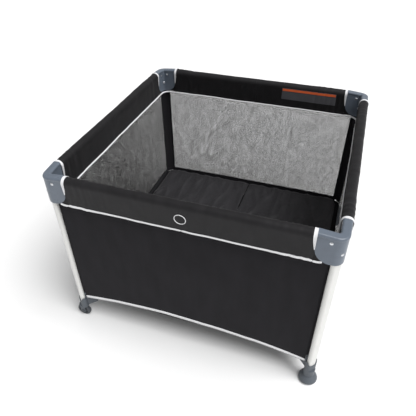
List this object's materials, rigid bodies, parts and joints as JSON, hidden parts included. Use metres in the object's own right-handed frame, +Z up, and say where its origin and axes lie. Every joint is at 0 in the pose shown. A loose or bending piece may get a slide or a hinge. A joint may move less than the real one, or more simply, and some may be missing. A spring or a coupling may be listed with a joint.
{
  "type": "folding playpen",
  "caption": "Square folding playpen with tube legs, corner brackets, padded breaking top rails, fabric and mesh walls, folding strut base with hub and a mattress.",
  "frame": {"origin": "on the floor, under the middle of the pen", "axes": "+Z up, front at -Y, +X to the right seen from the front; the wheels are on the -X side"},
  "size_m": [1.0571, 1.0572, 0.764],
  "materials": {
    "moulded_grey": "satin blue-grey moulding",
    "foot_grey": "satin grey moulding",
    "leg_white": "white powder coat",
    "wheel_grey": "dark grey moulding",
    "bright_steel": "bright zinc plate",
    "rail_steel": "grey powder coat",
    "sleeve_fabric": "woven charcoal polyester over foam",
    "lock_plastic": "black moulding",
    "button_plastic": "red moulding",
    "wall_fabric": "woven black polyester",
    "wall_mesh": "open knitted netting",
    "hub_plastic": "black moulding",
    "webbing": "black webbing",
    "floor_fabric": "woven black polyester",
    "mattress_fabric": "quilted black polyester"
  },
  "bodies": {
    "leg_front_left": {"corner_bracket_front_left": "moulded_grey", "leg_front_left": "leg_white", "foot_socket_front_left": "moulded_grey", "fasteners_front_left": "bright_steel", "wheel_axle_front_left": "bright_steel", "wall_front": "wall_fabric", "wall_left": "wall_mesh"},
    "leg_front_right": {"corner_bracket_front_right": "moulded_grey", "leg_front_right": "leg_white", "foot_socket_front_right": "moulded_grey", "fasteners_front_right": "bright_steel", "foot_pad_front_right": "foot_grey", "wall_right": "wall_mesh"},
    "leg_back_left": {"corner_bracket_back_left": "moulded_grey", "leg_back_left": "leg_white", "foot_socket_back_left": "moulded_grey", "fasteners_back_left": "bright_steel", "wheel_axle_back_left": "bright_steel", "wall_back": "wall_mesh"},
    "leg_back_right": {"corner_bracket_back_right": "moulded_grey", "leg_back_right": "leg_white", "foot_socket_back_right": "moulded_grey", "fasteners_back_right": "bright_steel", "foot_pad_back_right": "foot_grey"},
    "hub": {"hub_body": "hub_plastic", "hub_pins": "bright_steel", "hub_cap": "hub_plastic", "pull_strap": "webbing", "floor_sheet": "floor_fabric", "mattress": "mattress_fabric"},
    "strut_front_left": {"strut_front_left": "rail_steel"},
    "strut_front_right": {"strut_front_right": "rail_steel"},
    "strut_back_left": {"strut_back_left": "rail_steel"},
    "strut_back_right": {"strut_back_right": "rail_steel"},
    "rail_front_left": {"rail_front_left": "rail_steel", "rail_sleeve_front_left": "sleeve_fabric", "lock_housing_front": "lock_plastic"},
    "rail_front_right": {"rail_front_right": "rail_steel", "rail_sleeve_front_right": "sleeve_fabric"},
    "rail_back_left": {"rail_back_left": "rail_steel", "rail_sleeve_back_left": "sleeve_fabric", "lock_housing_back": "lock_plastic"},
    "rail_back_right": {"rail_back_right": "rail_steel", "rail_sleeve_back_right": "sleeve_fabric"},
    "rail_left_front": {"rail_left_front": "rail_steel", "rail_sleeve_left_front": "sleeve_fabric", "lock_housing_left": "lock_plastic"},
    "rail_left_back": {"rail_left_back": "rail_steel", "rail_sleeve_left_back": "sleeve_fabric"},
    "rail_right_front": {"rail_right_front": "rail_steel", "rail_sleeve_right_front": "sleeve_fabric", "lock_housing_right": "lock_plastic"},
    "rail_right_back": {"rail_right_back": "rail_steel", "rail_sleeve_right_back": "sleeve_fabric"},
    "lock_button_front": {"lock_button_front": "button_plastic"},
    "lock_button_back": {"lock_button_back": "button_plastic"},
    "lock_button_left": {"lock_button_left": "button_plastic"},
    "lock_button_right": {"lock_button_right": "button_plastic"},
    "wheel_front_left": {"wheel_front_left": "wheel_grey"},
    "wheel_back_left": {"wheel_back_left": "wheel_grey"}
  },
  "joints": [
    {"name": "fold", "type": "hinge", "parent": "leg_front_left", "child": "strut_front_left", "pos_m": [-0.48027, -0.48027, 0.139], "axis": [0.7071, -0.7071, 0], "range_deg": [0, 75], "deforming": ["wall_front", "wall_left", "wall_right", "wall_back", "floor_sheet", "mattress", "rail_sleeve_front_left", "rail_sleeve_front_right", "rail_sleeve_back_left", "rail_sleeve_back_right", "rail_sleeve_left_front", "rail_sleeve_left_back", "rail_sleeve_right_front", "rail_sleeve_right_back"]},
    {"name": "hub_on_strut_front_left", "type": "hinge", "parent": "strut_front_left", "child": "hub", "pos_m": [-0.01427, -0.01427, 0.139], "axis": [-0.7071, 0.7071, 0], "range_deg": [0, 75]},
    {"name": "strut_front_right_on_hub", "type": "hinge", "parent": "hub", "child": "strut_front_right", "pos_m": [0.01427, -0.01427, 0.139], "axis": [0.7071, 0.7071, 0], "range_deg": [0, 75]},
    {"name": "leg_front_right_on_strut", "type": "hinge", "parent": "strut_front_right", "child": "leg_front_right", "pos_m": [0.48027, -0.48027, 0.139], "axis": [-0.7071, -0.7071, 0], "range_deg": [0, 75]},
    {"name": "strut_back_left_on_hub", "type": "hinge", "parent": "hub", "child": "strut_back_left", "pos_m": [-0.01427, 0.01427, 0.139], "axis": [-0.7071, -0.7071, 0], "range_deg": [0, 75]},
    {"name": "leg_back_left_on_strut", "type": "hinge", "parent": "strut_back_left", "child": "leg_back_left", "pos_m": [-0.48027, 0.48027, 0.139], "axis": [0.7071, 0.7071, 0], "range_deg": [0, 75]},
    {"name": "strut_back_right_on_hub", "type": "hinge", "parent": "hub", "child": "strut_back_right", "pos_m": [0.01427, 0.01427, 0.139], "axis": [-0.7071, 0.7071, 0], "range_deg": [0, 75]},
    {"name": "leg_back_right_on_strut", "type": "hinge", "parent": "strut_back_right", "child": "leg_back_right", "pos_m": [0.48027, 0.48027, 0.139], "axis": [0.7071, -0.7071, 0], "range_deg": [0, 75]},
    {"name": "rail_front_left_on_bracket", "type": "hinge", "parent": "leg_front_left", "child": "rail_front_left", "pos_m": [-0.466, -0.5, 0.732], "axis": [0, 1, 0], "range_deg": [0, 75]},
    {"name": "rail_front_right_on_bracket", "type": "hinge", "parent": "leg_front_right", "child": "rail_front_right", "pos_m": [0.466, -0.5, 0.732], "axis": [0, -1, 0], "range_deg": [0, 75]},
    {"name": "rail_back_left_on_bracket", "type": "hinge", "parent": "leg_back_left", "child": "rail_back_left", "pos_m": [-0.466, 0.5, 0.732], "axis": [0, 1, 0], "range_deg": [0, 75]},
    {"name": "rail_back_right_on_bracket", "type": "hinge", "parent": "leg_back_right", "child": "rail_back_right", "pos_m": [0.466, 0.5, 0.732], "axis": [0, -1, 0], "range_deg": [0, 75]},
    {"name": "rail_left_front_on_bracket", "type": "hinge", "parent": "leg_front_left", "child": "rail_left_front", "pos_m": [-0.5, -0.466, 0.732], "axis": [-1, 0, 0], "range_deg": [0, 75]},
    {"name": "rail_left_back_on_bracket", "type": "hinge", "parent": "leg_back_left", "child": "rail_left_back", "pos_m": [-0.5, 0.466, 0.732], "axis": [1, 0, 0], "range_deg": [0, 75]},
    {"name": "rail_right_front_on_bracket", "type": "hinge", "parent": "leg_front_right", "child": "rail_right_front", "pos_m": [0.5, -0.466, 0.732], "axis": [-1, 0, 0], "range_deg": [0, 75]},
    {"name": "rail_right_back_on_bracket", "type": "hinge", "parent": "leg_back_right", "child": "rail_right_back", "pos_m": [0.5, 0.466, 0.732], "axis": [1, 0, 0], "range_deg": [0, 75]},
    {"name": "lock_front_release", "type": "slide", "parent": "rail_front_left", "child": "lock_button_front", "axis": [0, 0, 1], "range_m": [0, 0.004], "stiffness_N_per_m": 300, "springref_m": -0.002},
    {"name": "lock_back_release", "type": "slide", "parent": "rail_back_left", "child": "lock_button_back", "axis": [0, 0, 1], "range_m": [0, 0.004], "stiffness_N_per_m": 300, "springref_m": -0.002},
    {"name": "lock_left_release", "type": "slide", "parent": "rail_left_front", "child": "lock_button_left", "axis": [0, 0, 1], "range_m": [0, 0.004], "stiffness_N_per_m": 300, "springref_m": -0.002},
    {"name": "lock_right_release", "type": "slide", "parent": "rail_right_front", "child": "lock_button_right", "axis": [0, 0, 1], "range_m": [0, 0.004], "stiffness_N_per_m": 300, "springref_m": -0.002},
    {"name": "wheel_front_left_spin", "type": "hinge", "parent": "leg_front_left", "child": "wheel_front_left", "pos_m": [-0.4985, -0.493, 0.03], "axis": [0, 1, 0], "continuous": true},
    {"name": "wheel_back_left_spin", "type": "hinge", "parent": "leg_back_left", "child": "wheel_back_left", "pos_m": [-0.4985, 0.493, 0.03], "axis": [0, 1, 0], "continuous": true}
  ],
  "couplings": [
    {"joint": "hub_on_strut_front_left", "follows": "fold", "ratio": 1},
    {"joint": "strut_front_right_on_hub", "follows": "fold", "ratio": 1},
    {"joint": "leg_front_right_on_strut", "follows": "fold", "ratio": 1},
    {"joint": "strut_back_left_on_hub", "follows": "fold", "ratio": 1},
    {"joint": "leg_back_left_on_strut", "follows": "fold", "ratio": 1},
    {"joint": "strut_back_right_on_hub", "follows": "fold", "ratio": 1},
    {"joint": "leg_back_right_on_strut", "follows": "fold", "ratio": 1},
    {"joint": "rail_front_left_on_bracket", "follows": "fold", "ratio": 1},
    {"joint": "rail_front_right_on_bracket", "follows": "fold", "ratio": 1},
    {"joint": "rail_back_left_on_bracket", "follows": "fold", "ratio": 1},
    {"joint": "rail_back_right_on_bracket", "follows": "fold", "ratio": 1},
    {"joint": "rail_left_front_on_bracket", "follows": "fold", "ratio": 1},
    {"joint": "rail_left_back_on_bracket", "follows": "fold", "ratio": 1},
    {"joint": "rail_right_front_on_bracket", "follows": "fold", "ratio": 1},
    {"joint": "rail_right_back_on_bracket", "follows": "fold", "ratio": 1}
  ]
}
